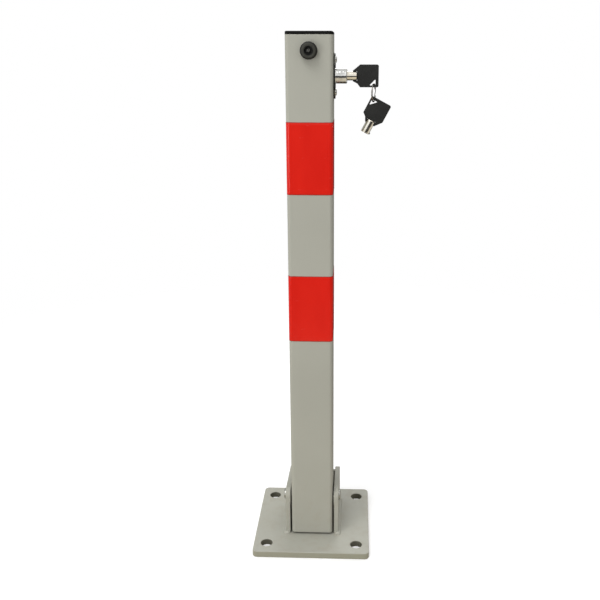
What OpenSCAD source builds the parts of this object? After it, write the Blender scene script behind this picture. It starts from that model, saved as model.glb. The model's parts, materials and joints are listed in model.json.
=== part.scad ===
// Folding parking post: a square steel tube that hinges between two ears on a bolted base plate.
// Frame: origin at the centre of the plate's underside, X to the right, Y away from the front, Z up.
// Rest state: post upright, key in the lock and turned to open, so the latch bolt is drawn up.

/* [Base plate] */
// Side of the square base plate
plate_side = 140; // [125:1:200]
// Thickness of the base plate
plate_t = 8; // [6:0.5:10]
// Radius of the plate's corners
plate_corner_r = 5.5; // [3:0.5:12]
// Round on the plate's upper edge
plate_edge_r = 1; // [0.4:0.1:2]
// Spacing of the anchor holes from side to side, centre to centre
anchor_spacing_x = 109; // [100:1:110]
// Spacing of the anchor holes from front to back, centre to centre
anchor_spacing_y = 104; // [100:1:110]
// Diameter of an anchor hole
anchor_hole_d = 14; // [8:0.5:16]
// Width of the softened rim round each anchor hole
anchor_rim = 0.6; // [0.2:0.1:1]

/* [Ears and web] */
// Thickness of each hinge ear
ear_t = 6; // [4:0.5:8]
// Gap between the tube's side and an ear
side_gap = 1.5; // [1:0.1:3]
// Radius of the ear's lobe round the pivot
ear_lobe_r = 10; // [8:0.5:11]
// Height of the ears at their back edge
ear_back_z = 59; // [45:1:62]
// Radius of the ear's upper back corner
ear_back_r = 4; // [2:0.5:6]
// Thickness of the web that joins the ears at the back
web_t = 4; // [3:0.5:6]
// How far the web's top lies below the ears' back corner
web_drop = 1.5; // [1:0.5:6]
// Clearance between the web and the sweep of the tube's heel
sweep_clearance = 0.5; // [0.3:0.1:2]
// Size of the weld beads at the ears' feet
bead_r = 3.2; // [2:0.1:4.5]

/* [Pivot] */
// Height of the pivot above the ground
pivot_z = 57; // [54:1:62]
// Distance of the pivot behind the tube's front face
pivot_back = 12.5; // [11:0.5:14]
// Diameter of the pivot pin
pin_d = 8; // [6:0.5:9]
// Diameter of the pin's two heads
pin_head_d = 12; // [11:0.5:16]
// Height of the pin's two heads
pin_head_h = 2.2; // [1:0.1:4]
// Outer diameter of the bush welded through the tube
bush_d = 14; // [12:0.5:16]
// Radial clearance of the pin in its bush
pin_fit = 0.08; // [0.03:0.01:0.1]
// Outer diameter of the hinge washers
washer_d = 18; // [14:0.5:20]
// Clearance between a hinge washer and the tube
washer_gap = 0.3; // [0.3:0.05:0.5]

/* [Post tube] */
// Outer width of the square tube
tube_w = 50; // [46:1:60]
// Wall of the tube
tube_wall = 2; // [1.5:0.1:3]
// Outer corner radius of the tube
tube_corner_r = 4; // [3.5:0.1:6]
// Height of the tube's top above the ground
tube_top_z = 601; // [560:1:900]
// Distance of the tube's centre in front of the plate's centre
post_ahead = 9; // [5:0.5:12]
// Gap under the tube's front edge
toe_gap = 2.8; // [2.4:0.1:4]
// Gap under the tube's back edge
heel_gap = 0.3; // [0.2:0.1:0.6]

/* [Tape and cap] */
// Height of each red band
band_h = 78; // [50:1:85]
// Distance of the upper band's top edge below the tube's top
band_drop = 89; // [80:1:160]
// Drop from the upper band to the lower band
band_pitch = 170; // [120:1:200]
// Thickness of the tape
tape_t = 0.25; // [0.1:0.05:0.5]
// Thickness of the cap above the tube
cap_t = 3.5; // [2.5:0.1:5]
// Round on the cap's upper edge
cap_edge_r = 1.4; // [0.5:0.1:2]
// Depth of the cap's skirt inside the tube
cap_skirt = 10; // [6:0.5:14]
// Wall of the cap's skirt
cap_wall = 1.8; // [1.2:0.1:3]
// Height of the gripping ribs on the skirt
cap_rib_h = 1.5; // [0.8:0.1:1.8]

/* [Buffer] */
// Distance of the buffer's centre below the tube's top
buffer_drop = 16; // [14:0.5:20]
// Diameter of the buffer
buffer_d = 18; // [15:0.5:22]
// How far the buffer stands out from the tube
buffer_h = 8; // [7:0.5:12]
// Round on the buffer's outer edge
buffer_edge_r = 2.6; // [1:0.1:3]
// Diameter of the recess that hides the buffer's screw
buffer_recess_d = 8.6; // [7.6:0.2:10]
// Depth of that recess
buffer_recess = 4.6; // [4.2:0.1:6]
// Thread diameter of the buffer's screw
buffer_screw_d = 3; // [2.5:0.5:4]
// Diameter of the head of the buffer's screw
buffer_head_d = 4.8; // [4.6:0.2:6]

/* [Lock] */
// Distance of the lock's axis below the tube's top
lock_drop = 42; // [41:0.5:60]
// Diameter of the lock's barrel
lock_d = 16; // [15:0.5:20]
// How far the barrel stands out from the tube
lock_proud = 14.5; // [11:0.5:16]
// Height of the escutcheon
escutcheon_h = 48; // [46:1:56]
// Width of the escutcheon
escutcheon_w = 24; // [22:1:30]
// Thickness of the escutcheon
escutcheon_t = 2; // [1.5:0.1:2.5]
// Distance of each escutcheon screw from the lock's axis
escutcheon_screw_off = 17; // [16:0.5:19]
// Diameter of an escutcheon screw's head
escutcheon_head_d = 7; // [6:0.2:8]
// Radius at which the cam carries its pin
cam_r = 10; // [9:0.5:11]
// Diameter of the cam's pin
cam_pin_d = 4; // [3:0.5:5]
// Thickness of the cam
cam_t = 3; // [2:0.5:4]

/* [Latch] */
// Diameter of the pull rod
rod_d = 8; // [7:0.5:10]
// Distance of the rod behind the tube's centre
rod_back = 11; // [10.5:0.5:13]
// Diameter of the latch bolt
bolt_d = 12; // [11:0.5:14]
// Length of the latch bolt
bolt_len = 46; // [40:1:60]
// Height of the drawn bolt's tip above the ground, beyond the throw
bolt_ground_gap = 1.9; // [1.5:0.1:3]
// Clearance of the bolt in the plate's latch hole
latch_hole_gap = 0.5; // [0.3:0.1:1]
// Radial clearance of the rod and the bolt in their guides
slide_fit = 0.1; // [0.04:0.01:0.1]
// Thickness of each guide plate
guide_t = 3; // [2:0.5:5]
// Height of the guide that backs the spring
spring_guide_z = 130; // [120:1:160]
// Distance of the upper guide below the lock's axis
upper_guide_drop = 59.5; // [50:0.5:90]
// Length of the spring with the bolt drawn up
spring_len = 26; // [22:1:34]
// Wire diameter of the spring
spring_wire = 1.6; // [1.2:0.1:2]
// Mean diameter of the spring
spring_d = 13; // [12:0.5:15]
// Number of turns of the spring
spring_turns = 6; // [4:1:8]
// Thickness of the yoke
yoke_t = 3; // [2:0.5:4]
// Clearance above and below the cam's pin in the yoke
yoke_play = 0.45; // [0.4:0.05:0.6]

/* [Keys] */
// Outer diameter of a key's tube
key_d = 9.5; // [9:0.1:10]
// Bore of a key's tube
key_bore_d = 7.9; // [7.4:0.1:8.1]
// Length of a key's tube
key_tube_len = 15; // [14.5:0.5:20]
// How deep a key goes into the lock
key_depth = 4.5; // [4.5:0.5:6]
// Length of a key's head
head_len = 27.6; // [26:0.2:32]
// Width of a key's head
head_w = 23.6; // [22:0.2:26]
// Thickness of a key's head
head_t = 4.5; // [4.5:0.5:6]
// Radius of the head's far corners
head_corner_r = 1.8; // [1:0.1:2.5]
// How far the head overlaps the end of the tube
head_overlap = 4.5; // [3:0.5:6]
// Radial clearance of the key and the plug in the lock
lock_fit = 0.1; // [0.04:0.01:0.1]

/* [Ring] */
// Mean diameter of the split ring
ring_d = 18.5; // [17:0.5:21]
// Width of the ring's wire, across the ring
ring_wire_w = 1.5; // [1.2:0.1:1.7]
// Thickness of one turn of the ring's wire
ring_wire_t = 0.7; // [0.6:0.05:0.9]
// Turn of the ring away from square to the keys
ring_turn = 12; // [0:1:12]
// Tilt of the hanging key from lying level
hang_tilt = 62; // [50:1:75]

/* [Hidden] */
$fn = 64;

// Overrun of a cutting solid past the face that it cuts
cut = 1;
// Small gap between pieces that are pressed, screwed or stuck together
seat = 0.04;

paint = [0.66, 0.66, 0.63];
tape_red = [0.84, 0.1, 0.08];
black = [0.1, 0.1, 0.1];
chrome = [0.8, 0.8, 0.82];
nickel = [0.78, 0.74, 0.66];
zinc = [0.6, 0.62, 0.64];

half_w = tube_w / 2;
inner_w = tube_w - 2 * tube_wall;
inner_corner_r = tube_corner_r - tube_wall;
post_front_y = -post_ahead - half_w;
post_back_y = post_front_y + tube_w;
pivot_y = post_front_y + pivot_back;
toe_z = plate_t + toe_gap;
heel_z = plate_t + heel_gap;

// The tube's heel swings on this radius, and the web stands just outside it
heel_reach = norm([post_back_y - pivot_y, pivot_z - heel_z]);
web_front_y = pivot_y + heel_reach + sweep_clearance;
web_back_y = web_front_y + web_t;
ear_inner_x = half_w + side_gap;
ear_outer_x = ear_inner_x + ear_t;
ear_front_y = pivot_y - ear_lobe_r;
pin_hole_d = pin_d + 2 * pin_fit;

upper_band_z = tube_top_z - band_drop - band_h;
buffer_z = tube_top_z - buffer_drop;
buffer_washer_t = 0.8;
buffer_head_h = 2;
buffer_floor = buffer_h - buffer_recess;
buffer_nut_t = 3.2;

lock_y = -post_ahead;
lock_z = tube_top_z - lock_drop;
lock_face_x = half_w + lock_proud;
cam_clearance = 1;
cam_back_x = rod_d / 2 + cam_clearance;
cam_front_x = cam_back_x + cam_t;
lock_back_x = cam_front_x + cam_clearance;
plug_d = lock_d - 4;
plug_shoulder_x = lock_face_x - key_depth - 0.3;
key_tip_x = lock_face_x - key_depth;
lug_w = 1.6;
lug_h = 0.8;
lug_len = 1.8;
lug_setback = 0.5;
lug_room_r = key_d / 2 + lug_h + 0.3;
cam_stub_d = 6;
cam_screw_d = 3;
cam_screw_head_d = 7;
cam_screw_head_h = 2.2;

// The cam's pin starts an eighth of a turn above level and ends as far below it
pin_rest_angle = 45;
pin_rest_y = lock_y + cam_r * cos(pin_rest_angle);
pin_rest_z = lock_z + cam_r * sin(pin_rest_angle);
throw_len = 2 * cam_r * sin(pin_rest_angle);

rod_y = -post_ahead + rod_back;
bolt_tip_z = throw_len + bolt_ground_gap;
bolt_top_z = bolt_tip_z + bolt_len;
bolt_socket = 14;
bolt_nose = 1.5;
cross_pin_d = 3;
cross_pin_z = bolt_top_z - bolt_socket / 2;
bottom_guide_z = bolt_tip_z + 2;
upper_guide_z = lock_z - upper_guide_drop;
collar_t = 4;
collar_d = spring_d + spring_wire + 3;
collar_top_z = spring_guide_z - spring_len;

yoke_rim = 4;
yoke_slot_half_h = cam_pin_d / 2 + yoke_play;
yoke_half_h = yoke_slot_half_h + yoke_rim;
yoke_slot_y0 = pin_rest_y - yoke_play;
yoke_slot_y1 = lock_y + cam_r + yoke_play;
yoke_tail = 18;
yoke_bottom_z = pin_rest_z - yoke_half_h;
rod_top_z = yoke_bottom_z - 4;

// Place of the ring's wire in a key's head, from the key's tip and its axis
head_x0 = key_tube_len - head_overlap;
head_x1 = head_x0 + head_len;
eye_leg = 6.2;
eye_x = head_x1 - 5.1;
eye_z = -head_w / 2 + 3.45;
hang_x = eye_x + 0.3;
hang_z = eye_z + 0.8;
tang_t = 2.4;
tang_w = 6;
tang_len = 12;
ring_pitch = ring_wire_t + 0.05;
ring_x = key_tip_x + eye_x;
ring_top_z = lock_z + eye_z;
ring_mid_z = ring_top_z - ring_d / 2;

// A rectangle with round corners, centred on the origin
module rounded_rect(w, d, r) {
    square([w - 2 * r, d], center = true);
    square([w, d - 2 * r], center = true);
    for (sx = [-1, 1], sy = [-1, 1])
        translate([sx * (w / 2 - r), sy * (d / 2 - r)])
            circle(r);
}

// A slab that stands on its plan, with upright corners of radius r and a round of radius e on top
module soft_slab(w, d, h, r, e) {
    for (turn = [0, 1])
        rotate([90, 0, 90 * turn])
            linear_extrude(height = (turn == 0 ? d : w) - 2 * r, center = true)
                for (side = [0, 1])
                    mirror([side, 0])
                        soft_edge((turn == 0 ? w : d) / 2, h, e);
    for (sx = [-1, 1], sy = [-1, 1])
        translate([sx * (w / 2 - r), sy * (d / 2 - r), 0])
            rotate_extrude()
                soft_edge(r, h, e);
}

// Half of a section: a rectangle whose upper outer corner is round
module soft_edge(half, h, e) {
    square([half - e, h]);
    square([half, h - e]);
    translate([half - e, h - e])
        intersection() {
            circle(e);
            square(e);
        }
}

// Two round ends of radius r0 and r1, d apart, joined by straight flanks a hair inside their tangents
module tapered_link(r0, r1, d) {
    hair = 0.01;
    a = acos((r0 - r1) / d);
    f0 = r0 - hair;
    f1 = r1 - hair;
    circle(r0);
    translate([d, 0])
        circle(r1);
    polygon([[f0 * cos(a), -f0 * sin(a)], [d + f1 * cos(a), -f1 * sin(a)],
        [d + f1 * cos(a), f1 * sin(a)], [f0 * cos(a), f0 * sin(a)]]);
}

// A round bar along X at the lock's axis
module lock_bar(x0, x1, d) {
    translate([x0, lock_y, lock_z])
        rotate([0, 90, 0])
            cylinder(h = x1 - x0, d = d);
}

// A round bar along X at the pivot
module pivot_bar(x0, x1, d) {
    translate([x0, pivot_y, pivot_z])
        rotate([0, 90, 0])
            cylinder(h = x1 - x0, d = d);
}

// Brings a profile drawn as (Y, Z) upright at x, with its thickness t towards +X
module side_profile(x, t) {
    translate([x, 0, 0])
        rotate([90, 0, 90])
            linear_extrude(height = t)
                children();
}

// Turns a solid that stands on the XY plane to stand out of the tube's front at the buffer
module at_buffer() {
    translate([0, post_front_y, buffer_z])
        rotate([90, 0, 0])
            children();
}

module base_plate() {
    color(paint)
        difference() {
            soft_slab(plate_side, plate_side, plate_t, plate_corner_r, plate_edge_r);
            for (sx = [-1, 1], sy = [-1, 1])
                translate([sx * anchor_spacing_x / 2, sy * anchor_spacing_y / 2, 0]) {
                    translate([0, 0, -cut])
                        cylinder(h = plate_t + 2 * cut, d = anchor_hole_d);
                    translate([0, 0, plate_t - anchor_rim])
                        cylinder(h = anchor_rim + cut, r1 = anchor_hole_d / 2,
                            r2 = anchor_hole_d / 2 + anchor_rim + cut);
                }
            translate([0, rod_y, -cut])
                cylinder(h = plate_t + 2 * cut, d = bolt_d + 2 * latch_hole_gap);
        }
}

// Side view of an ear: a lobe round the pivot, a straight front and a top that falls to the back
module ear_outline() {
    back_c = [web_back_y - ear_back_r, ear_back_z - ear_back_r];
    run = back_c - [pivot_y, pivot_z];
    difference() {
        union() {
            translate([pivot_y, pivot_z])
                rotate(atan2(run[1], run[0]))
                    tapered_link(ear_lobe_r, ear_back_r, norm(run));
            polygon([[ear_front_y, plate_t], [web_back_y, plate_t], [web_back_y, back_c[1]], back_c,
                [pivot_y, pivot_z], [ear_front_y, pivot_z]]);
        }
        translate([pivot_y, pivot_z])
            circle(d = pin_hole_d);
    }
}

module left_ear() {
    color(paint)
        side_profile(-ear_outer_x, ear_t)
            ear_outline();
}

module right_ear() {
    color(paint)
        side_profile(ear_inner_x, ear_t)
            ear_outline();
}

module back_web() {
    color(paint)
        translate([-ear_inner_x, web_front_y, plate_t])
            cube([2 * ear_inner_x, web_t, ear_back_z - ear_back_r - web_drop - plate_t]);
}

// One bead along an ear's outer foot, turned round its front end and along half of the web's back foot
module foot_bead() {
    intersection() {
        union() {
            translate([ear_outer_x, ear_front_y, plate_t])
                rotate([-90, 0, 0])
                    cylinder(h = web_back_y - ear_front_y, r = bead_r);
            translate([ear_outer_x, ear_front_y, plate_t])
                sphere(bead_r);
            translate([ear_inner_x + bead_r, ear_front_y, plate_t])
                rotate([0, 90, 0])
                    cylinder(h = ear_t - bead_r, r = bead_r);
            translate([ear_outer_x, web_back_y, plate_t])
                sphere(bead_r);
            translate([-cut, web_back_y, plate_t])
                rotate([0, 90, 0])
                    cylinder(h = ear_outer_x + cut, r = bead_r);
        }
        difference() {
            translate([-2 * cut, ear_front_y - 2 * bead_r, plate_t])
                cube([ear_outer_x + 2 * bead_r, web_back_y - ear_front_y + 4 * bead_r, 2 * bead_r]);
            translate([-3 * cut, ear_front_y, plate_t - cut])
                cube([ear_outer_x + 3 * cut, web_back_y - ear_front_y, 2 * bead_r + 2 * cut]);
        }
    }
}

module weld_beads() {
    color(paint)
        for (side = [0, 1])
            mirror([side, 0, 0])
                foot_bead();
}

module pivot_pin() {
    color(zinc) {
        pivot_bar(-ear_outer_x - seat, ear_outer_x + seat, pin_d);
        for (side = [0, 1])
            mirror([side, 0, 0])
                translate([ear_outer_x, pivot_y, pivot_z])
                    rotate([0, 90, 0])
                        rotate_extrude()
                            soft_edge(pin_head_d / 2, pin_head_h, pin_head_h / 2);
    }
}

module hinge_washers() {
    color(zinc)
        for (side = [0, 1])
            mirror([side, 0, 0])
                difference() {
                    pivot_bar(half_w + washer_gap, ear_inner_x, washer_d);
                    pivot_bar(half_w - cut, ear_inner_x + cut, pin_hole_d);
                }
}

module post_tube() {
    color(paint)
        difference() {
            translate([0, -post_ahead, 0])
                linear_extrude(height = tube_top_z)
                    rounded_rect(tube_w, tube_w, tube_corner_r);
            translate([0, -post_ahead, -cut])
                linear_extrude(height = tube_top_z + 2 * cut)
                    rounded_rect(inner_w, inner_w, inner_corner_r);
            side_profile(-tube_w, 2 * tube_w)
                polygon([[post_front_y, -cut], [post_back_y + cut, -cut],
                    [post_back_y + cut, heel_z], [post_back_y, heel_z], [post_front_y, toe_z],
                    [post_front_y - cut, toe_z], [post_front_y - cut, -cut]]);
            pivot_bar(-tube_w, tube_w, bush_d + 2 * seat);
            lock_bar(0, tube_w, lock_d + 2 * seat);
            at_buffer()
                translate([0, 0, -tube_wall - cut])
                    cylinder(h = tube_wall + 2 * cut, d = buffer_screw_d + 2 * seat);
            escutcheon_screw_row(half_w - tube_wall - cut, half_w + cut, 2 * seat);
        }
}

module red_band(z) {
    color(tape_red)
        translate([0, -post_ahead, z])
            linear_extrude(height = band_h)
                difference() {
                    rounded_rect(tube_w + 2 * (seat + tape_t), tube_w + 2 * (seat + tape_t),
                        tube_corner_r + seat + tape_t);
                    rounded_rect(tube_w + 2 * seat, tube_w + 2 * seat, tube_corner_r + seat);
                }
}

module upper_red_band() {
    red_band(upper_band_z);
}

module lower_red_band() {
    red_band(upper_band_z - band_pitch);
}

module top_cap() {
    skirt_w = inner_w - 2 * cap_rib_h - 2 * seat;
    rib_len = cap_rib_h + cap_wall / 2;
    color(black)
        translate([0, -post_ahead, tube_top_z]) {
            soft_slab(tube_w, tube_w, cap_t, tube_corner_r, cap_edge_r);
            translate([0, 0, -cap_skirt])
                linear_extrude(height = cap_skirt)
                    difference() {
                        rounded_rect(skirt_w, skirt_w, inner_corner_r);
                        rounded_rect(skirt_w - 2 * cap_wall, skirt_w - 2 * cap_wall, inner_corner_r / 2);
                    }
            for (turn = [0:3], off = [-1, 0, 1])
                rotate(90 * turn)
                    translate([skirt_w / 2 - cap_wall / 2, off * skirt_w / 3 - 1, -cap_skirt + 1])
                        cube([rib_len, 2, cap_skirt - 1]);
        }
}

module buffer() {
    color(black)
        at_buffer()
            difference() {
                rotate_extrude()
                    soft_edge(buffer_d / 2, buffer_h, buffer_edge_r);
                translate([0, 0, buffer_floor])
                    cylinder(h = buffer_recess + cut, d = buffer_recess_d);
                translate([0, 0, -cut])
                    cylinder(h = buffer_h, d = buffer_screw_d + 2 * seat);
            }
}

module buffer_washer() {
    color(zinc)
        at_buffer()
            translate([0, 0, buffer_floor])
                difference() {
                    cylinder(h = buffer_washer_t, d = buffer_recess_d - 0.4);
                    translate([0, 0, -cut])
                        cylinder(h = buffer_washer_t + 2 * cut, d = buffer_screw_d + 2 * seat);
                }
}

// A screw with a domed head: the head stands on z = 0 and the shank runs down
module domed_screw(head_d, head_h, shank_d, shank_len) {
    slot_w = head_d / 5;
    slot_l = head_d * 0.62;
    difference() {
        rotate_extrude()
            soft_edge(head_d / 2, head_h, head_h * 0.7);
        for (turn = [0, 1])
            rotate(90 * turn)
                translate([-slot_l / 2, -slot_w / 2, head_h * 0.45])
                    cube([slot_l, slot_w, head_h]);
    }
    translate([0, 0, -shank_len])
        cylinder(h = shank_len, d = shank_d);
}

module buffer_screw() {
    seat_h = buffer_floor + buffer_washer_t;
    color(zinc)
        at_buffer()
            translate([0, 0, seat_h])
                domed_screw(buffer_head_d, buffer_head_h, buffer_screw_d,
                    seat_h + tube_wall + buffer_nut_t + 1);
}

module buffer_nut() {
    color(zinc)
        at_buffer()
            translate([0, 0, -tube_wall - buffer_nut_t])
                difference() {
                    cylinder(h = buffer_nut_t, d = 2 * buffer_screw_d, $fn = 6);
                    translate([0, 0, -cut])
                        cylinder(h = buffer_nut_t + 2 * cut, d = buffer_screw_d + 2 * seat);
                }
}

// The two screw places of the escutcheon, as round bars that grow on their diameter
escutcheon_screw_d = 4;
module escutcheon_screw_row(x0, x1, grow) {
    for (side = [-1, 1])
        translate([x0, lock_y, lock_z + side * escutcheon_screw_off])
            rotate([0, 90, 0])
                cylinder(h = x1 - x0, d = escutcheon_screw_d + grow);
}

module escutcheon() {
    straight = escutcheon_h - escutcheon_w;
    color(chrome)
        difference() {
            translate([half_w, lock_y, lock_z])
                rotate([90, 0, 90])
                    linear_extrude(height = escutcheon_t) {
                        square([escutcheon_w, straight], center = true);
                        for (side = [-1, 1])
                            translate([0, side * straight / 2])
                                circle(d = escutcheon_w);
                    }
            lock_bar(0, tube_w, lock_d + 2 * seat);
            escutcheon_screw_row(half_w - cut, half_w + escutcheon_t + cut, 2 * seat);
        }
}

module escutcheon_screws() {
    color(chrome)
        for (side = [-1, 1])
            translate([half_w + escutcheon_t, lock_y, lock_z + side * escutcheon_screw_off])
                rotate([0, 90, 0])
                    rotate(30 * side)
                        domed_screw(escutcheon_head_d, 1.4, escutcheon_screw_d,
                            escutcheon_t + tube_wall + 3);
}

// The barrel: a bore for the turning plug, a narrower mouth for the key and room for the key's lug
module lock_body() {
    rim = 0.8;
    color(chrome)
        difference() {
            union() {
                lock_bar(lock_back_x, lock_face_x - rim, lock_d);
                translate([lock_face_x - rim, lock_y, lock_z])
                    rotate([0, 90, 0])
                        cylinder(h = rim, d1 = lock_d, d2 = lock_d - 2 * rim);
            }
            lock_bar(lock_back_x - cut, plug_shoulder_x, plug_d + 2 * lock_fit);
            lock_bar(plug_shoulder_x - cut, lock_face_x + cut, key_d + 2 * lock_fit);
            lock_bar(plug_shoulder_x - cut, key_tip_x + lug_setback + lug_len + 0.3, 2 * lug_room_r);
            translate([key_tip_x, lock_y, lock_z - lug_w / 2 - 0.2])
                cube([key_depth + cut, lug_room_r, lug_w + 0.4]);
        }
}

module lock_nut() {
    nut_t = 5;
    color(zinc)
        difference() {
            translate([half_w - tube_wall - nut_t, lock_y, lock_z])
                rotate([0, 90, 0])
                    cylinder(h = nut_t, d = lock_d + 6, $fn = 6);
            lock_bar(0, tube_w, lock_d + 2 * seat);
        }
}

// A plate across the tube's inside, bored at the rod
module guide_plate(z, hole_d) {
    color(zinc)
        translate([0, 0, z])
            difference() {
                translate([0, -post_ahead, 0])
                    linear_extrude(height = guide_t)
                        rounded_rect(inner_w - 2 * seat, inner_w - 2 * seat, inner_corner_r);
                translate([0, rod_y, -cut])
                    cylinder(h = guide_t + 2 * cut, d = hole_d);
            }
}

module bottom_guide() {
    guide_plate(bottom_guide_z, bolt_d + 2 * slide_fit);
}

module spring_guide() {
    guide_plate(spring_guide_z, rod_d + 2 * slide_fit);
}

module upper_guide() {
    guide_plate(upper_guide_z, rod_d + 2 * slide_fit);
}

module pivot_bush() {
    color(zinc)
        difference() {
            pivot_bar(-half_w, half_w, bush_d);
            pivot_bar(-tube_w, tube_w, pin_hole_d);
        }
}

// Sweeps a closed section of m points along n stations, given by point(i, j), into one solid
module swept(n, m, pts) {
    side = [for (i = [0:n - 2], j = [0:m - 1])
        [i * m + j, i * m + (j + 1) % m, (i + 1) * m + (j + 1) % m, (i + 1) * m + j]];
    first = [for (j = [0:m - 1]) m - 1 - j];
    last = [for (j = [0:m - 1]) (n - 1) * m + j];
    polyhedron(points = pts, faces = concat(side, [first], [last]), convexity = 6);
}

module return_spring() {
    sides = 6;
    steps = spring_turns * 20 + 1;
    rise = spring_len - spring_wire - 2 * seat;
    pts = [for (i = [0:steps - 1], j = [0:sides - 1])
        let (t = i / (steps - 1),
            a = 360 * spring_turns * t,
            b = -360 * j / sides,
            // the first and last turns lie flat, so the climb is in the middle ones
            climb = min(1, max(0, (t * spring_turns - 0.8) / (spring_turns - 1.6))),
            r = spring_d / 2 + spring_wire / 2 * cos(b))
        [r * cos(a), rod_y + r * sin(a), collar_top_z + seat + spring_wire / 2
            + rise * climb + spring_wire / 2 * sin(b)]];
    color(zinc)
        swept(steps, sides, pts);
}

module pull_rod() {
    color(zinc)
        difference() {
            translate([0, rod_y, bolt_top_z - bolt_socket])
                cylinder(h = rod_top_z - bolt_top_z + bolt_socket, d = rod_d);
            translate([-yoke_t / 2, rod_y - rod_d, yoke_bottom_z - yoke_tail])
                cube([yoke_t, 2 * rod_d, yoke_tail]);
            cross_pin_bar(2 * seat);
        }
}

// The yoke: a plate with a level slot for the cam's pin and a tail let into the rod's end
module yoke() {
    y0 = yoke_slot_y0 - cam_pin_d / 2 - yoke_rim;
    y1 = max(yoke_slot_y1 + cam_pin_d / 2 + yoke_rim, rod_y + rod_d / 2);
    color(zinc)
        side_profile(-yoke_t / 2, yoke_t)
            difference() {
                union() {
                    translate([(y0 + y1) / 2, pin_rest_z])
                        rounded_rect(y1 - y0, 2 * yoke_half_h, 2);
                    translate([rod_y - rod_d / 2, yoke_bottom_z - yoke_tail])
                        square([rod_d, yoke_tail + 3]);
                }
                translate([yoke_slot_y0, pin_rest_z - yoke_slot_half_h])
                    square([yoke_slot_y1 - yoke_slot_y0, 2 * yoke_slot_half_h]);
                for (y = [yoke_slot_y0, yoke_slot_y1])
                    translate([y, pin_rest_z])
                        circle(yoke_slot_half_h);
            }
}

module rod_collar() {
    color(zinc)
        translate([0, rod_y, collar_top_z - collar_t])
            difference() {
                cylinder(h = collar_t, d = collar_d);
                translate([0, 0, -cut])
                    cylinder(h = collar_t + 2 * cut, d = rod_d + 2 * seat);
            }
}

module cross_pin_bar(grow) {
    translate([-bolt_d / 2, rod_y, cross_pin_z])
        rotate([0, 90, 0])
            cylinder(h = bolt_d, d = cross_pin_d + grow);
}

module latch_bolt() {
    color(zinc)
        difference() {
            translate([0, rod_y, bolt_tip_z])
                union() {
                    cylinder(h = bolt_nose, d1 = bolt_d - 2 * bolt_nose, d2 = bolt_d);
                    translate([0, 0, bolt_nose])
                        cylinder(h = bolt_len - bolt_nose, d = bolt_d);
                }
            translate([0, rod_y, bolt_top_z - bolt_socket])
                cylinder(h = bolt_socket + cut, d = rod_d + 2 * seat);
            translate([-cut, 0, 0])
                cross_pin_bar(2 * seat);
            translate([cut, 0, 0])
                cross_pin_bar(2 * seat);
        }
}

module bolt_cross_pin() {
    color(zinc)
        cross_pin_bar(0);
}

module lock_plug() {
    color(chrome)
        difference() {
            union() {
                lock_bar(cam_front_x, plug_shoulder_x, plug_d);
                lock_bar(cam_front_x, lock_face_x - 0.6, key_bore_d - 2 * lock_fit);
                lock_bar(cam_back_x, cam_front_x + cut, cam_stub_d);
            }
            lock_bar(cam_back_x - cut, cam_back_x + 8, cam_screw_d + 2 * seat);
        }
}

// The cam: an arm from the plug's stub to the pin
module lock_cam() {
    color(zinc)
        difference() {
            translate([0, lock_y, lock_z])
                side_profile(cam_back_x, cam_t)
                    rotate(pin_rest_angle)
                        tapered_link(cam_stub_d / 2 + 4, cam_pin_d / 2 + 2, cam_r);
            lock_bar(0, tube_w, cam_stub_d + 2 * seat);
            cam_pin_bar(0, tube_w, 2 * seat);
        }
}

module cam_pin_bar(x0, x1, grow) {
    translate([x0, pin_rest_y, pin_rest_z])
        rotate([0, 90, 0])
            cylinder(h = x1 - x0, d = cam_pin_d + grow);
}

module cam_pin() {
    color(zinc)
        cam_pin_bar(-yoke_t / 2 - 2, cam_front_x, 0);
}

module cam_screw() {
    color(zinc)
        translate([cam_back_x, lock_y, lock_z])
            rotate([0, -90, 0])
                domed_screw(cam_screw_head_d, cam_screw_head_h, cam_screw_d, 7);
}

// A tubular key's metal part, tip at the origin and pointing to -X, with its tang towards +X
module key_shank() {
    cuts = [1.8, 1.1, 2.3, 1.4, 2.0, 1.2, 1.7];
    groove_d = 1.1;
    end_round = 1.2;
    color(nickel)
        difference() {
            union() {
                rotate([0, 90, 0])
                    rotate_extrude()
                        soft_edge(key_d / 2, key_tube_len, end_round);
                translate([key_tube_len - cut, -tang_t / 2, -tang_w / 2])
                    cube([tang_len + cut, tang_t, tang_w]);
                translate([lug_setback, -lug_w / 2, 0])
                    cube([lug_len, lug_w, key_d / 2 + lug_h]);
            }
            translate([-cut, 0, 0])
                rotate([0, 90, 0])
                    cylinder(h = cut + key_tube_len / 2, d = key_bore_d);
            for (i = [0:6])
                rotate([360 * (i + 0.5) / 7, 0, 0])
                    translate([-cut, 0, key_d / 2])
                        rotate([0, 90, 0])
                            cylinder(h = cut + cuts[i], d = groove_d, $fn = 24);
        }
}

// Outline of a key's head as (X, Z): one straight shoulder, one hollow shoulder, two round far corners
module head_outline() {
    hw = head_w / 2;
    throat = key_d / 2 + 0.7;
    shoulder_x = head_x0 + 7.8;
    difference() {
        union() {
            translate([(shoulder_x + head_x1) / 2, 0])
                rounded_rect(head_x1 - shoulder_x, head_w, head_corner_r);
            polygon([[head_x0, -throat], [shoulder_x - 2.8, -hw + 3.7], [shoulder_x, -hw],
                [shoulder_x + 2 * head_corner_r, -hw], [shoulder_x + 2 * head_corner_r, hw],
                [shoulder_x, hw], [head_x0, throat]]);
        }
        // the notch that takes the tube's end
        translate([head_x0 - cut, -key_d / 2 - seat])
            square([head_overlap + cut + seat, key_d + 2 * seat]);
        key_eye();
    }
}

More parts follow.
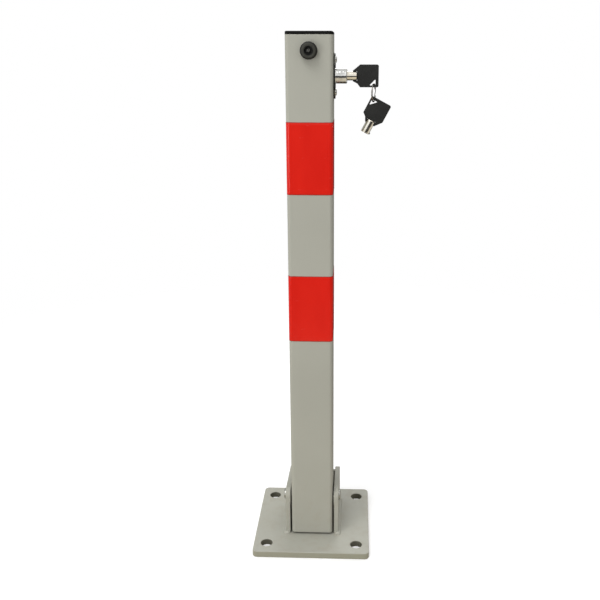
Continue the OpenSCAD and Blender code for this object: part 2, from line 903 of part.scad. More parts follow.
// The three-cornered eye in the far lower corner, which the ring passes through
module key_eye() {
    eye_r = 0.6;
    x1 = eye_x + 1.9;
    z0 = eye_z - 1.65;
    polygon([[x1 - eye_leg, z0 + eye_r], [x1 - eye_leg + eye_r, z0], [x1 - eye_r, z0],
        [x1, z0 + eye_r], [x1, z0 + eye_leg - eye_r], [x1 - eye_r, z0 + eye_leg]]);
}

module key_head() {
    color(black)
        difference() {
            translate([0, head_t / 2, 0])
                rotate([90, 0, 0])
                    linear_extrude(height = head_t)
                        head_outline();
            translate([head_x0, -tang_t / 2, -tang_w / 2])
                cube([key_tube_len + tang_len - head_x0 + seat, tang_t, tang_w]);
        }
}

module at_key_one() {
    translate([key_tip_x, lock_y, lock_z])
        children();
}

// The spare key hangs turned over, with its eye on the ring's lowest point
module at_key_two() {
    translate([ring_x, lock_y, ring_top_z - ring_d])
        rotate([0, -hang_tilt, 0])
            rotate([180, 0, 0])
                translate([-hang_x, 0, -hang_z])
                    children();
}

module key_one_shank() {
    at_key_one()
        key_shank();
}

module key_one_head() {
    at_key_one()
        key_head();
}

module key_two_shank() {
    at_key_two()
        key_shank();
}

module key_two_head() {
    at_key_two()
        key_head();
}

// The split ring: two flat turns side by side, with one step from the first turn to the second
module key_ring() {
    start = 22;
    stop = 698;
    step_from = 342;
    step_to = 378;
    n = 93;
    w = ring_wire_w / 2;
    t = ring_wire_t / 2;
    c = 0.28;
    section = [[w, t - c], [w - c, t], [c - w, t], [-w, t - c], [-w, c - t], [c - w, -t], [w - c, -t], [w, c - t]];
    pts = [for (i = [0:n - 1], j = [0:7])
        let (a = start + (stop - start) * i / (n - 1),
            s = min(1, max(0, (a - step_from) / (step_to - step_from))),
            x = ring_pitch * (3 * s * s - 2 * s * s * s - 0.5),
            r = ring_d / 2 + section[j][0])
        [x + section[j][1], r * cos(a), r * sin(a)]];
    color(nickel)
        translate([ring_x, lock_y, ring_mid_z])
            rotate([0, 0, -ring_turn])
                swept(n, 8, pts);
}

base_plate();
left_ear();
right_ear();
back_web();
weld_beads();
pivot_pin();
hinge_washers();
post_tube();
upper_red_band();
lower_red_band();
top_cap();
buffer();
buffer_washer();
buffer_screw();
buffer_nut();
escutcheon();
escutcheon_screws();
lock_body();
lock_nut();
bottom_guide();
spring_guide();
upper_guide();
pivot_bush();
return_spring();
pull_rod();
yoke();
rod_collar();
latch_bolt();
bolt_cross_pin();
lock_plug();
lock_cam();
cam_pin();
cam_screw();
key_one_shank();
key_one_head();
key_ring();
key_two_shank();
key_two_head();
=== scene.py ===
import json
import math

import bmesh
import bpy
import numpy as np
from mathutils import Matrix, Vector


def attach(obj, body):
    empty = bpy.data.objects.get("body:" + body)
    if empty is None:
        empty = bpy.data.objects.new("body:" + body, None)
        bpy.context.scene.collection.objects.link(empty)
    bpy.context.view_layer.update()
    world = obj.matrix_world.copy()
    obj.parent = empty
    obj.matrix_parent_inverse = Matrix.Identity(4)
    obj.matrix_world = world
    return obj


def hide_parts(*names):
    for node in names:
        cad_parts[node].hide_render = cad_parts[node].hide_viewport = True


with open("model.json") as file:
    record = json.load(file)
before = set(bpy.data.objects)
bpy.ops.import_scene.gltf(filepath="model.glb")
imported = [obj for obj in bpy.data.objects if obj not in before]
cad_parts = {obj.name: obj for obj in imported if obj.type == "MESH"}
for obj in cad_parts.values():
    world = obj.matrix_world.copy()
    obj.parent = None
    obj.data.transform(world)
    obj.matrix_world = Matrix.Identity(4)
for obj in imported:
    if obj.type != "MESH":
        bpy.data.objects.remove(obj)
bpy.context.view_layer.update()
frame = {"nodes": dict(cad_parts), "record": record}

MM = 0.001
NODES = frame["nodes"]
SLOT_OF = {row["node"]: row["material_slot"] for row in frame["record"]["subparts"]}
BODY_OF = {node: body for body, nodes in frame["record"]["behaviour"]["bodies"].items()
           for node in nodes}

# Nodes whose finish differs from their slot's plain one
OWN_FINISH = {
    "pivot_pin": "pin_steel",
    # The buffer's screw: a darkened steel, painted shade of the recess it sits in
    "buffer_screw": "screw_steel_painted_shade",
    "top_cap": "cap_plastic",
    "escutcheon": "stamped_chrome",
    "key_ring": "ring_steel",
}

# Nodes that are shown with their sharp edges rounded, with the radius in millimetres
EDGE_RADIUS = {
    "base_plate": 0.35,
    "left_ear": 0.8,
    "right_ear": 0.8,
    "back_web": 0.6,
    "post_tube": 0.6,
    "escutcheon": 0.3,
    "lock_body": 0.25,
    "key_one_head": 0.7,
    "key_two_head": 0.7,
}
BEVEL_SEGMENTS = 3
BEVEL_DEGREES = 32
SHARP_DEGREES = 40

# Sizes of the object in millimetres, as the solids have them
TUBE_W, TUBE_Y, TUBE_R = 50.0, -9.0, 4.0
BAND_H, BAND_PITCH, BAND_TOP = 78.0, 170.0, 512.0
BAND_GAP, TAPE_T = 0.04, 0.25
EAR_X0, EAR_X1, EAR_Y0, EAR_Y1 = 26.5, 32.5, -31.5, 44.47
PLATE_T = 8.0
BEAD_R = 3.2
HOLE_X, HOLE_Y = 54.5, 52.0
ESCUTCHEON_FACE_X = 27.0
BUFFER_Z = 585.0
RING_D, RING_W, RING_T, RING_TURN = 18.5, 1.5, 0.7, 12.0
RING_X, RING_Z = 68.0, 541.4


# Camera: the photograph's own, solved from its edges, in the object's frame

EYE_MM = (51.16, -849.08, 584.11)
YAW, PITCH, ROLL = 0.0357, 0.2824, 0.0005
FOCAL_PX = 760.20
AXIS_PX = (330.0, 272.0)
FRAME_PX = 600
SENSOR_MM = 36.0


def make_camera():
    """Looks YAW left of +Y and PITCH below level, with the off-centre axis as a shift."""
    forward = Vector((-math.sin(YAW) * math.cos(PITCH), math.cos(YAW) * math.cos(PITCH),
                      -math.sin(PITCH)))
    level = Vector((math.cos(YAW), math.sin(YAW), 0))
    upright = level.cross(forward)
    right = math.cos(ROLL) * level + math.sin(ROLL) * upright
    up = math.cos(ROLL) * upright - math.sin(ROLL) * level
    data = bpy.data.cameras.new("camera")
    data.sensor_width = SENSOR_MM
    data.lens = SENSOR_MM * FOCAL_PX / FRAME_PX
    data.shift_x = (FRAME_PX / 2 - AXIS_PX[0]) / FRAME_PX
    data.shift_y = (AXIS_PX[1] - FRAME_PX / 2) / FRAME_PX
    turn = Matrix((right, up, -forward)).transposed().to_4x4()
    camera = bpy.data.objects.new("camera", data)
    camera.matrix_world = Matrix.Translation(Vector(EYE_MM) * MM) @ turn
    bpy.context.scene.collection.objects.link(camera)
    bpy.context.scene.camera = camera


# Shader maths: a socket with operators, and one method for every other node

class Value:
    """A shader socket that takes part in Python arithmetic; each operation adds a Math node."""

    def __init__(self, finish, socket):
        self.finish = finish
        self.socket = socket

    def _math(self, operation, first, second):
        return self.finish.node("ShaderNodeMath", {"operation": operation}, [first, second]).out(0)

    def __add__(self, other): return self._math("ADD", self, other)
    def __radd__(self, other): return self._math("ADD", other, self)
    def __sub__(self, other): return self._math("SUBTRACT", self, other)
    def __rsub__(self, other): return self._math("SUBTRACT", other, self)
    def __mul__(self, other): return self._math("MULTIPLY", self, other)
    def __rmul__(self, other): return self._math("MULTIPLY", other, self)
    def at_most(self, limit): return self._math("MINIMUM", self, limit)
    def at_least(self, limit): return self._math("MAXIMUM", self, limit)

    def rise(self, low, high):
        """0 below low, 1 above high, and a smooth step between them."""
        settings = {"interpolation_type": "SMOOTHSTEP"}
        sockets = {"Value": self, "From Min": low, "From Max": high}
        return self.finish.node("ShaderNodeMapRange", settings, sockets).out("Result")

    def fall(self, low, high):
        """1 below low, 0 above high, and a smooth step between them."""
        return 1.0 - self.rise(low, high)

    def between(self, rise_low, rise_high, fall_low, fall_high):
        """A plateau of 1 with a smooth step at each side."""
        return self.rise(rise_low, rise_high) * self.fall(fall_low, fall_high)


class Node:
    """A shader node whose outputs are read as Values."""

    def __init__(self, finish, made):
        self.finish = finish
        self.made = made

    def out(self, key):
        return Value(self.finish, self.made.outputs[key])


class Finish:
    """A material under construction."""

    def __init__(self, name):
        self.material = bpy.data.materials.new(name)
        self.start(self.material, "ShaderNodeOutputMaterial")

    def start(self, owner, output):
        owner.use_nodes = True
        self.tree = owner.node_tree
        self.tree.nodes.clear()
        self.output = self.tree.nodes.new(output)

    def end(self, shader):
        """Links a shader to the output."""
        self.tree.links.new(shader.made.outputs[0], self.output.inputs["Surface"])

    def node(self, kind, settings=None, sockets=None):
        """A node with its settings, and its sockets by name or in order; None leaves one alone."""
        made = self.tree.nodes.new(kind)
        for key, setting in (settings or {}).items():
            setattr(made, key, setting)
        in_order = isinstance(sockets, (list, tuple))
        for key, given in enumerate(sockets) if in_order else (sockets or {}).items():
            if isinstance(given, Value):
                self.tree.links.new(given.socket, made.inputs[key])
            elif given is not None:
                made.inputs[key].default_value = given
        return Node(self, made)

    def place(self):
        return self.node("ShaderNodeTexCoord").out("Object")

    def axis(self, letter, vector=None):
        """One coordinate of a vector, or of the place on the object."""
        return self.node("ShaderNodeSeparateXYZ", {}, [vector or self.place()]).out(letter)

    def vector(self, operation, *given, output="Vector"):
        return self.node("ShaderNodeVectorMath", {"operation": operation}, given).out(output)

    def distance(self, place, centre, plane):
        """How far a place is from the centre within a plane, given by its two axes as ones."""
        offset = self.vector("MULTIPLY", self.vector("SUBTRACT", place, centre), plane)
        return self.vector("LENGTH", offset, output="Value")

    def stretched(self, scale):
        sockets = {"Vector": self.place(), "Scale": scale}
        return self.node("ShaderNodeMapping", {}, sockets).out(0)

    def noise(self, scale, detail=2.0, roughness=0.5, at=None):
        sockets = {"Vector": at or self.place(), "Scale": scale, "Detail": detail,
                   "Roughness": roughness}
        return self.node("ShaderNodeTexNoise", {}, sockets).out("Fac")

    def blend(self, factor, low, high):
        """A colour between low and high."""
        sockets = {0: factor, 6: low, 7: high}
        return self.node("ShaderNodeMix", {"data_type": "RGBA"}, sockets).out(2)

    def bump(self, height, depth, under=None):
        """A normal that height lifts by up to depth metres, over the normal under it."""
        sockets = {"Height": height, "Distance": depth, "Normal": under}
        return self.node("ShaderNodeBump", {}, sockets).out(0)

    def soft_edges(self, radius):
        return self.node("ShaderNodeBevel", {"samples": 6}, {"Radius": radius}).out(0)

    def surface(self, **sockets):
        """Ends the material with a Principled shader, and returns it."""
        named = {key.replace("_", " "): given for key, given in sockets.items()}
        self.end(self.node("ShaderNodeBsdfPrincipled", {}, named))
        return self.material


class Sky(Finish):
    """The world's own tree, with the same helpers as a finish."""

    def __init__(self, world):
        self.start(world, "ShaderNodeOutputWorld")


def rgb(r, g, b):
    return (r, g, b, 1.0)


# Finishes

def edge_wear_and_highlight_mask(f, radius):
    """A mask of the sharp edges, for rubbed wear and for painted highlights, and the rounded
    normal that it is taken from.
    """
    soft = f.soft_edges(radius)
    true = f.node("ShaderNodeNewGeometry").out("Normal")
    same = f.vector("DOT_PRODUCT", soft, true, output="Value")
    return (1.0 - same).rise(0.01, 0.16), soft


def grey_paint():
    """Powder coat: warm grey with an orange-peel skin, faint clouding and rubbed edges.

    Dust lies low on the part and its flanks are darker. The plate's top rim and the holes' rims
    carry a painted highlight, and the holes' walls and the ears' inner faces low down by the post
    carry painted shade. Heights and distances are in metres.
    """
    f = Finish("grey_paint")
    edge, soft = edge_wear_and_highlight_mask(f, 0.0009)
    cloud = f.noise(7.0, 3.0)
    speck = f.noise(1300.0, 2.0)
    peel = f.noise(560.0, 3.0, 0.55)
    wave = f.noise(60.0, 2.0)
    rub = f.noise(210.0, 4.0, 0.65).rise(0.42, 0.62)
    height = f.axis("Z")
    dust = height.fall(0.0, 0.13) * f.noise(90.0, 4.0, 0.6).rise(0.45, 0.7) * 0.35
    across = f.vector("ABSOLUTE", f.place())
    from_hole = f.distance(across, (HOLE_X * MM, HOLE_Y * MM, 0), (1, 1, 0))
    flank = height.fall(0.0068, 0.0078)
    # Painted highlight: a light line on the rounded rims at the plate's top, where they would
    # catch the light
    rim = height.between(0.0070, 0.0075, 0.0083, 0.0090)
    # Painted shade: the anchor holes' walls, which sit in shade
    wall = from_hole.fall(0.00705, 0.0072) * height.fall(0.0070, 0.0076)
    # Painted shade on the ears' inner faces, in the gap beside the post
    painted_gap_shade = f.axis("X", across).between(0.0260, 0.0264, 0.0270, 0.0275)
    painted_gap_shade = painted_gap_shade * height.between(0.0081, 0.0083, 0.045, 0.055)
    tone = (cloud * 0.75 + speck * 0.25).rise(0.32, 0.68)
    colour = f.blend(tone, rgb(0.372, 0.370, 0.318), rgb(0.402, 0.400, 0.345))
    colour = f.blend(dust, colour, rgb(0.36, 0.33, 0.265))
    colour = f.blend(edge * rub * 0.4, colour, rgb(0.50, 0.49, 0.44))
    colour = f.blend(flank * 0.75, colour, rgb(0.295, 0.288, 0.215))
    # Paints the rim highlight on the sharp edges
    colour = f.blend(edge * rim * 0.8, colour, rgb(0.60, 0.59, 0.52))
    # Paints the shade in the gaps between the ears and the post
    colour = f.blend(painted_gap_shade * 0.85, colour, rgb(0.040, 0.037, 0.030))
    # Paints the shade in the holes' walls
    colour = f.blend(wall * 0.8, colour, rgb(0.085, 0.082, 0.064))
    return f.surface(Base_Color=colour, Roughness=0.42 + peel * 0.12 + dust * 0.3,
                     Specular_IOR_Level=0.35, Normal=f.bump(peel + wave * 0.8, 0.00007, soft))


def red_tape():
    """Glossy film: saturated red, faint waves where it is pressed on, a few fine scuffs, and
    darker cut edges."""
    f = Finish("red_tape")
    wave = f.noise(38.0, 2.0, 0.5, f.stretched((1.0, 1.0, 0.35)))
    grain = f.noise(900.0, 2.0)
    scuff = f.noise(260.0, 3.0, 0.7, f.stretched((0.25, 0.25, 1.0))).rise(0.63, 0.78)
    height = f.axis("Z")
    # Darker within about a millimetre of the tape's cut edges
    away_from_cuts = 1.0
    for top in (BAND_TOP, BAND_TOP - BAND_PITCH):
        for cut in (top, top - BAND_H):
            near = (height - cut * MM).between(-0.0012, -0.0004, 0.0004, 0.0012)
            away_from_cuts = (1.0 - near) * away_from_cuts
    tone = (wave * 0.7 + grain * 0.3).rise(0.3, 0.7)
    colour = f.blend(tone, rgb(0.650, 0.0108, 0.0043), rgb(0.715, 0.0145, 0.0063))
    colour = f.blend(scuff * 0.10, colour, rgb(0.66, 0.07, 0.06))
    colour = f.blend((1.0 - away_from_cuts) * 0.75, colour, rgb(0.20, 0.012, 0.010))
    return f.surface(Base_Color=colour, Roughness=0.16 + grain * 0.06 + scuff * 0.2,
                     Specular_IOR_Level=0.25, Normal=f.bump(wave + grain * 0.12, 0.00012))


def black_plastic(name="black_plastic", shade=1.0, sheen=0.32):
    """Moulded black plastic with a fine spark-eroded grain, greyer where fingers rub its edges."""
    f = Finish(name)
    edge, soft = edge_wear_and_highlight_mask(f, 0.0005)
    grain = f.noise(2400.0, 2.0, 0.6)
    cloud = f.noise(60.0, 2.0).rise(0.35, 0.65)
    rub = f.noise(420.0, 3.0, 0.6).rise(0.45, 0.65)
    dark = rgb(0.0115 * shade, 0.0120 * shade, 0.0112 * shade)
    light = rgb(0.0165 * shade, 0.0172 * shade, 0.0160 * shade)
    colour = f.blend(cloud, dark, light)
    colour = f.blend(edge * rub * 0.35, colour, rgb(0.05, 0.05, 0.048))
    return f.surface(Base_Color=colour, Roughness=0.46 + grain * 0.14, Specular_IOR_Level=sheen,
                     Normal=f.bump(grain, 0.00006, soft))


def black_rubber():
    """Smooth dark rubber with a slight bloom, and painted shade at its rim and round its recess.
    """
    f = Finish("black_rubber")
    bloom = f.noise(140.0, 3.0)
    grain = f.noise(1700.0, 2.0)
    out = f.distance(f.place(), (0, 0, BUFFER_Z * MM), (1, 0, 1))
    # Painted shade: near black on the rounded outer rim and in a ring round the recess
    painted_rim_and_recess_shade = (out.rise(0.0070, 0.0082) + out.fall(0.0046, 0.0056)).at_most(1.0)
    colour = f.blend(bloom.rise(0.35, 0.7), rgb(0.030, 0.030, 0.023), rgb(0.042, 0.042, 0.033))
    colour = f.blend(painted_rim_and_recess_shade * 0.95, colour, rgb(0.004, 0.004, 0.003))
    return f.surface(Base_Color=colour, Roughness=0.5 + bloom * 0.18, Specular_IOR_Level=0.35,
                     Normal=f.bump(grain, 0.00005))


def plated(name, low, high, roughness, scratch_depth, ripple=None, dark_below_x=None):
    """Plated metal: two close tints, fine turning marks, a rippled polish where asked, and near
    black below a level of x (mm) where asked."""
    f = Finish(name)
    haze = f.noise(120.0, 3.0)
    marks = f.noise(900.0, 2.0, 0.6, f.stretched((0.2, 1.0, 1.0)))
    colour = f.blend(haze.rise(0.35, 0.65), low, high)
    if dark_below_x:
        # Near black below the given x, which takes in the escutcheon's edges and back
        cut = f.axis("X").fall(dark_below_x * MM - 0.0001, dark_below_x * MM)
        colour = f.blend(cut, colour, rgb(0.055, 0.055, 0.048))
    polish = f.soft_edges(0.0002)
    if ripple:
        polish = f.bump(f.noise(330.0, 2.0, 0.6), ripple, polish)
    return f.surface(Base_Color=colour, Metallic=1.0, Roughness=roughness + haze * 0.12,
                     Normal=f.bump(marks, scratch_depth, polish))


def make_finishes():
    return {
        "grey_paint": grey_paint(),
        "red_tape": red_tape(),
        "black_plastic": black_plastic(),
        "cap_plastic": black_plastic("cap_plastic", 0.35, 0.1),
        "black_rubber": black_rubber(),
        "chrome": plated("chrome", rgb(0.54, 0.54, 0.52), rgb(0.78, 0.78, 0.76),
                         0.04, 0.00001, ripple=0.00016),
        "nickel": plated("nickel", rgb(0.76, 0.71, 0.60), rgb(0.90, 0.87, 0.79),
                         0.06, 0.00002, ripple=0.00005),
        "zinc_steel": plated("zinc_steel", rgb(0.50, 0.51, 0.52), rgb(0.62, 0.63, 0.64),
                             0.28, 0.00003),
        "stamped_chrome": plated("stamped_chrome", rgb(0.50, 0.50, 0.48), rgb(0.66, 0.66, 0.64),
                                 0.09, 0.00001, ripple=0.00005,
                                 dark_below_x=ESCUTCHEON_FACE_X - 0.2),
        "ring_steel": plated("ring_steel", rgb(0.26, 0.25, 0.23), rgb(0.40, 0.38, 0.34),
                             0.10, 0.00001),
        # Painted shade: darkened zinc steel for the screw deep in the buffer's recess
        "screw_steel_painted_shade": plated("screw_steel_painted_shade", rgb(0.14, 0.14, 0.13), rgb(0.20, 0.20, 0.19),
                              0.42, 0.00003),
        "pin_steel": plated("pin_steel", rgb(0.34, 0.34, 0.31), rgb(0.44, 0.44, 0.41),
                            0.30, 0.00004),
    }


def finish_of(node):
    return FINISHES[OWN_FINISH.get(node, SLOT_OF[node])]


# Stage and light, in metres

FLOOR_HALF = 2.5
FLOOR_FADE = (0.45, 1.1)
MIDDLE, FOOT = (0.0, 0.0, 0.3), (0.0, 0.0, 0.15)

# Each lamp's name, place, aim, size and watts
LAMPS = [
    ("key_panel", (-0.72, -1.1, 2.45), MIDDLE, 1.3, 25.2),
    ("low_panel", (-1.15, -1.35, 0.30), FOOT, 0.8, 6.5),
    ("fill_panel", (1.6, -1.2, 0.8), MIDDLE, 1.2, 2.0),
    ("back_panel", (0.4, 1.6, 1.5), MIDDLE, 1.2, 10.0),
]


def make_floor():
    """A white floor that fades into the white background well outside the object's shadow.

    The camera sees it white. Light that bounces off it comes back a warm mid grey, as off a
    table, and polished parts mirror one that is warm in front of the object and dark behind it.
    """
    h = FLOOR_HALF
    mesh = bpy.data.meshes.new("floor")
    mesh.from_pydata([(-h, -h, 0), (h, -h, 0), (h, h, 0), (-h, h, 0)], [], [(0, 1, 2, 3)])
    floor = bpy.data.objects.new("floor", mesh)
    bpy.context.scene.collection.objects.link(floor)
    f = Finish("floor")
    reach = f.vector("LENGTH", f.place(), output="Value")
    path = f.node("ShaderNodeLightPath")
    seen = path.out("Is Camera Ray")
    mirrored = f.blend(f.axis("Y").rise(-0.02, 0.22), rgb(0.60, 0.54, 0.42), rgb(0.03, 0.03, 0.02))
    felt = f.blend(path.out("Is Glossy Ray"), rgb(0.60, 0.57, 0.50), mirrored)
    colour = f.blend(seen, felt, rgb(0.96, 0.96, 0.96))
    lift = f.blend(seen, rgb(0, 0, 0), rgb(0.15, 0.15, 0.15))
    paper = f.node("ShaderNodeBsdfDiffuse", {}, {"Color": colour})
    glow = f.node("ShaderNodeEmission", {}, {"Color": lift})
    lit = f.node("ShaderNodeAddShader", {}, [paper.out(0), glow.out(0)])
    clear = f.node("ShaderNodeBsdfTransparent")
    f.end(f.node("ShaderNodeMixShader", {}, [reach.rise(*FLOOR_FADE), lit.out(0), clear.out(0)]))
    mesh.materials.append(f.material)


def make_sky():
    """An even white studio for the camera, and a soft light for the matt surfaces.

    Polished surfaces see a darker room: a low dark skirting over dimmer ground in front, a dark
    wall behind and a dim one to the right, with a warm tint low in front and at the right.
    """
    scene = bpy.context.scene
    scene.view_settings.view_transform = "Standard"
    scene.world = bpy.data.worlds.new("studio")
    f = Sky(scene.world)
    path = f.node("ShaderNodeLightPath")
    glossy = path.out("Is Glossy Ray")
    seen = (path.out("Is Camera Ray") + path.out("Is Transmission Ray")).at_most(1.0)
    way = f.node("ShaderNodeTexCoord").out("Generated")
    right, back, up = f.axis("X", way), f.axis("Y", way), f.axis("Z", way)
    front = back.fall(-0.55, 0.25)
    skirting = up.between(-0.50, -0.43, 0.01, 0.07)
    below = up.fall(-0.50, -0.43)
    behind = back.rise(0.60, 0.84) * up.fall(0.4, 0.6)
    beside = right.rise(0.25, 0.6) * up.between(-0.55, -0.35, 0.35, 0.6)
    gloss = (1.0 - front * (skirting * 0.93 + below * 0.40)) * (1.0 - behind * 0.96)
    gloss = gloss * (1.0 - beside * 0.72)
    soft = 0.652 - right.rise(0.1, 0.9) * 0.13 + up.rise(0.3, 0.9) * 0.12
    strength = seen + (1.0 - seen) * (glossy * gloss + (1.0 - glossy) * soft)
    warm = (1.0 - seen) * glossy * (front * below).at_least(beside)
    tint = f.blend(warm, rgb(1.0, 1.0, 1.0), rgb(1.0, 0.90, 0.74))
    f.end(f.node("ShaderNodeBackground", {}, {"Color": tint, "Strength": strength}))


def make_lamp(name, place, aim, size, watts):
    """A round soft lamp, turned to face aim."""
    data = bpy.data.lights.new(name, "AREA")
    data.shape = "DISK"
    data.size = size
    data.energy = watts
    lamp = bpy.data.objects.new(name, data)
    lamp.location = place
    lamp.rotation_euler = (Vector(aim) - Vector(place)).to_track_quat("-Z", "Y").to_euler()
    bpy.context.scene.collection.objects.link(lamp)


# Making pieces

def add(name, mesh, node):
    """Adds a finished piece: its place is in its mesh, and it stands for the node."""
    piece = bpy.data.objects.new(name, mesh)
    bpy.context.scene.collection.objects.link(piece)
    mesh.materials.clear()
    mesh.materials.append(finish_of(node))
    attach(piece, BODY_OF[node])
    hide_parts(node)
    return piece


def shade_smooth(mesh, sharp_degrees):
    """Smooth shading that leaves edges sharper than the angle hard."""
    for face in mesh.polygons:
        face.use_smooth = True
    mesh.set_sharp_from_angle(angle=math.radians(sharp_degrees))


def merged_copy(node):
    """A copy of a node's mesh with its loose triangles joined and its flat faces whole."""
    mesh = bpy.data.meshes.new(node + "_soft")
    work = bmesh.new()
    work.from_mesh(NODES[node].data)
    bmesh.ops.remove_doubles(work, verts=work.verts, dist=2e-6)
    bmesh.ops.dissolve_limit(work, angle_limit=math.radians(0.6), verts=work.verts,
                             edges=work.edges)
    work.to_mesh(mesh)
    work.free()
    return mesh


def soften(node, radius):
    """The node itself, with its sharp edges rounded to the radius (mm) by a bevel."""
    mesh = merged_copy(node)
    piece = add(node + "_soft", mesh, node)
    shade_smooth(mesh, BEVEL_DEGREES)
    bevel = piece.modifiers.new("edge", "BEVEL")
    bevel.width = radius * MM
    bevel.segments = BEVEL_SEGMENTS
    bevel.limit_method = "ANGLE"
    bevel.angle_limit = math.radians(BEVEL_DEGREES)
    bevel.use_clamp_overlap = True
    bevel.harden_normals = True


def surface(name, points, wrap_along=False, cap=False):
    """A mesh from points[along, across] in mm, with quads between neighbours.

    It closes across, and along or with flat end caps where asked.
    """
    n, m = points.shape[:2]
    i = np.arange(n if wrap_along else n - 1)[:, None]
    j = np.arange(m)[None, :]
    i2, j2 = (i + 1) % n, (j + 1) % m
    quads = np.stack([i * m + j, i * m + j2, i2 * m + j2, i2 * m + j], axis=-1)
    faces = quads.reshape(-1, 4).tolist()
    if cap:
        faces.append(list(range(m))[::-1])
        faces.append(list(range((n - 1) * m, n * m)))
    mesh = bpy.data.meshes.new(name)
    mesh.from_pydata((points.reshape(-1, 3) * MM).tolist(), [], faces)
    mesh.update()
    work = bmesh.new()
    work.from_mesh(mesh)
    bmesh.ops.recalc_face_normals(work, faces=work.faces)
    work.to_mesh(mesh)
    work.free()
    shade_smooth(mesh, SHARP_DEGREES)
    return mesh


def tube_path(half, corner, per_corner=14, per_side=60):
    """Once round a square with round corners, from the middle of its back.

    Seen from above it goes anticlockwise. Returns the points, the outward normals and the
    distance along, as arrays.
    """
    straight = half - corner
    side = np.linspace(-straight, straight, per_side, endpoint=False)
    turn = np.linspace(0, np.pi / 2, per_corner, endpoint=False)
    face = np.stack([np.full(per_side, half), side], axis=1)
    face_n = np.tile([1.0, 0.0], (per_side, 1))
    arc_n = np.stack([np.cos(turn), np.sin(turn)], axis=1)
    arc = arc_n * corner + straight
    quarter = np.concatenate([face, arc])
    quarter_n = np.concatenate([face_n, arc_n])
    quarters, normals = [], []
    for step in range(4):
        a = step * np.pi / 2
        turned = np.array([[np.cos(a), np.sin(a)], [-np.sin(a), np.cos(a)]])
        quarters.append(quarter @ turned)
        normals.append(quarter_n @ turned)
    points, outward = np.concatenate(quarters), np.concatenate(normals)
    start = int(np.argmin(np.hypot(points[:, 0], points[:, 1] - half)))
    points, outward = np.roll(points, -start, axis=0), np.roll(outward, -start, axis=0)
    along = np.concatenate([[0.0], np.cumsum(np.hypot(*np.diff(points, axis=0).T))])
    return points, outward, along


def tape_sleeve(node, top):
    """Tape once round the tube and over its own start at the back.

    The outer skin stands off the tube by a thickness that climbs one layer over climb_run just
    before the seam and drops over cut_run at the cut end, lap past it. The upper and lower edges
    are a little thinner over edge_run and wander by a few hundredths.
    """
    lap, climb_run, cut_run, edge_run = 12.0, 1.2, 0.24, 0.12
    points, outward, along = tube_path(TUBE_W / 2, TUBE_R)
    whole = along[-1] + np.hypot(*(points[0] - points[-1]))
    closed = np.append(along, whole)
    s = np.unique(np.concatenate([np.linspace(0, whole, 300, endpoint=False),
                                  lap + np.linspace(-0.5, 0.5, 9),
                                  whole - np.linspace(climb_run, 0.05, 8)]))

    def at_s(rows):
        return np.stack([np.interp(s, closed, np.append(rows[:, k], rows[0, k]))
                         for k in (0, 1)], axis=1)

    place, normal = at_s(points), at_s(outward)
    normal /= np.linalg.norm(normal, axis=1, keepdims=True)
    climb = np.clip((s - (whole - climb_run)) / climb_run, 0, 1)
    climb = climb + np.clip((lap + cut_run / 2 - s) / cut_run, 0, 1)
    skin = BAND_GAP + TAPE_T * (0.72 + 0.55 * np.clip(climb, 0, 1))
    inner_rows = 26
    rise = np.linspace(edge_run, BAND_H - edge_run, inner_rows)
    rise = np.concatenate([[0.0], rise, [BAND_H]])
    share = np.concatenate([[0.75], np.ones(inner_rows), [0.75]])
    wander = 0.05 * np.sin(s / 9.0) + 0.03 * np.sin(s / 3.7 + 1.0)
    press = 0.012 * np.sin(s[:, None] / 6.3 + rise / 7.0) * np.sin(rise * np.pi / BAND_H)
    off = skin[:, None] * share + press
    off = np.concatenate([off, np.full((len(s), 2), BAND_GAP)], axis=1)
    z = top - BAND_H + rise + wander[:, None]
    z = np.concatenate([z, z[:, [-1]], z[:, [0]]], axis=1)
    xy = place[:, None, :] + normal[:, None, :] * off[:, :, None]
    grid = np.concatenate([xy + [0.0, TUBE_Y], z[:, :, None]], axis=2)
    add(node + "_tape", surface(node + "_tape", grid, wrap_along=True), node)


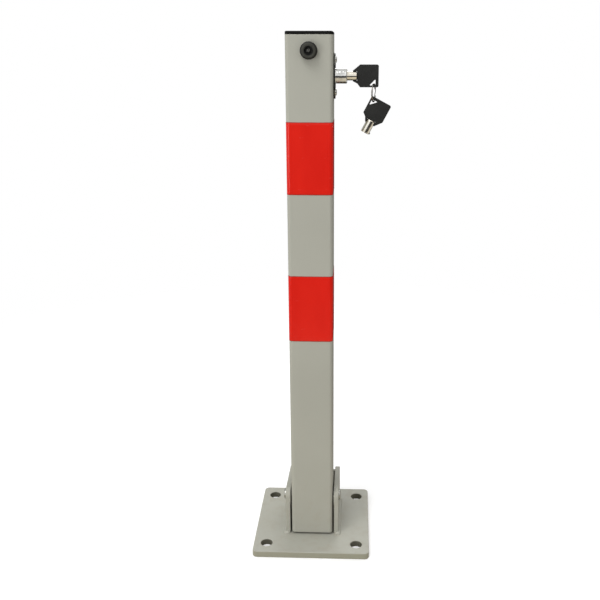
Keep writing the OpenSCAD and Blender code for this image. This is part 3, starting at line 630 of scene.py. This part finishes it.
def foot_weld():
    """One weld from the front of one ear, back along its foot, across the web and forward along
    the other ear.

    The section is a quarter round in the corner of upright and plate, a little flat in its
    middle, and reaches root below both. Its radius grows from nothing over fade at each end, and
    rises and falls like a row of overlapping coins.
    """
    inset, root, fade = 0.8, -0.2, 2.6
    coin_pitch, coin_rise = 3.1, 0.28
    corner_run = BEAD_R * 0.7
    corners = np.array([(EAR_X0 + inset, EAR_Y0), (EAR_X1, EAR_Y0), (EAR_X1, EAR_Y1),
                        (-EAR_X1, EAR_Y1), (-EAR_X1, EAR_Y0), (-EAR_X0 - inset, EAR_Y0)])
    run_steps = (16, 170, 150, 170, 16)
    turn = np.linspace(0, np.pi / 2, 14)[1:-1]
    place, angle, s = [], [], []
    start = 0.0
    for run, steps in enumerate(run_steps):
        first, last = corners[run], corners[run + 1]
        facing = (run - 1) * np.pi / 2
        share = np.linspace(0, 1, steps)
        place.append(first + share[:, None] * (last - first))
        angle.append(np.full(steps, facing))
        s.append(start + share * np.hypot(*(last - first)))
        start = s[-1][-1]
        if run < len(run_steps) - 1:
            place.append(np.tile(last, (len(turn), 1)))
            angle.append(facing + turn)
            s.append(start + turn * corner_run)
            start += np.pi / 2 * corner_run
    place, angle, s = np.concatenate(place), np.concatenate(angle), np.concatenate(s)
    normal = np.stack([np.cos(angle), np.sin(angle)], axis=1)
    a = np.linspace(0, np.pi / 2, 13)
    middle = np.sin(2 * a)
    ends = np.sqrt(np.clip(np.minimum(s, s[-1] - s) / fade, 0.0, 1.0))[:, None]
    coin = np.mod((s / coin_pitch + 0.22 * np.sin(s / 8.3))[:, None] + 0.32 * middle, 1.0)
    ripple = np.sqrt(np.clip(1.0 - (2.0 * coin - 1.0) ** 2, 0.0, 1.0))
    sway = (0.84 + 0.035 * np.sin(s / 6.1) + 0.03 * np.sin(s / 2.3 + 2.0))[:, None]
    radius = (BEAD_R * sway + coin_rise * ripple) * (1.0 - 0.07 * middle) * (0.03 + 0.97 * ends)
    out, up = radius * np.cos(a), radius * np.sin(a)
    buried = np.full((len(s), 1), root)
    out = np.concatenate([out, buried, buried, out[:, [0]]], axis=1)
    up = np.concatenate([up, up[:, [-1]], buried, buried], axis=1)
    xy = place[:, None, :] + normal[:, None, :] * out[:, :, None]
    grid = np.concatenate([xy, PLATE_T + up[:, :, None]], axis=2)
    add("foot_weld", surface("foot_weld", grid, cap=True), "weld_beads")


def split_ring():
    """Two flat turns of wire side by side.

    The wire's section is a soft-cornered rectangle carried round a circle, and it steps across by
    its own thickness and a gap over a short arc in the middle of its run. The whole ring is
    turned a little about the upright.
    """
    start, stop, step_from, step_arc = 22, 698, 342, 36
    gap, softness = 0.05, 0.55
    a = np.radians(np.linspace(start, stop, 520))
    step = np.clip((np.degrees(a) - step_from) / step_arc, 0, 1)
    shift = (RING_T + gap) * (3 * step ** 2 - 2 * step ** 3 - 0.5)
    b = np.linspace(0, 2 * np.pi, 20, endpoint=False)

    def boxy(wave):
        return np.sign(wave) * np.abs(wave) ** softness

    r = RING_D / 2 + RING_W / 2 * boxy(np.cos(b))
    x = shift[:, None] + RING_T / 2 * boxy(np.sin(b))
    y, z = r * np.cos(a)[:, None], r * np.sin(a)[:, None]
    t = -math.radians(RING_TURN)
    grid = np.stack([x * math.cos(t) - y * math.sin(t) + RING_X,
                     x * math.sin(t) + y * math.cos(t) + TUBE_Y, z + RING_Z], axis=2)
    add("key_ring_wire", surface("key_ring_wire", grid, cap=True), "key_ring")


make_camera()
make_floor()
make_sky()
for lamp in LAMPS:
    make_lamp(*lamp)

FINISHES = make_finishes()
for node in SLOT_OF:
    NODES[node].data.materials.clear()
    NODES[node].data.materials.append(finish_of(node))

for node, radius in EDGE_RADIUS.items():
    soften(node, radius)
foot_weld()
tape_sleeve("upper_red_band", BAND_TOP)
tape_sleeve("lower_red_band", BAND_TOP - BAND_PITCH)
split_ring()
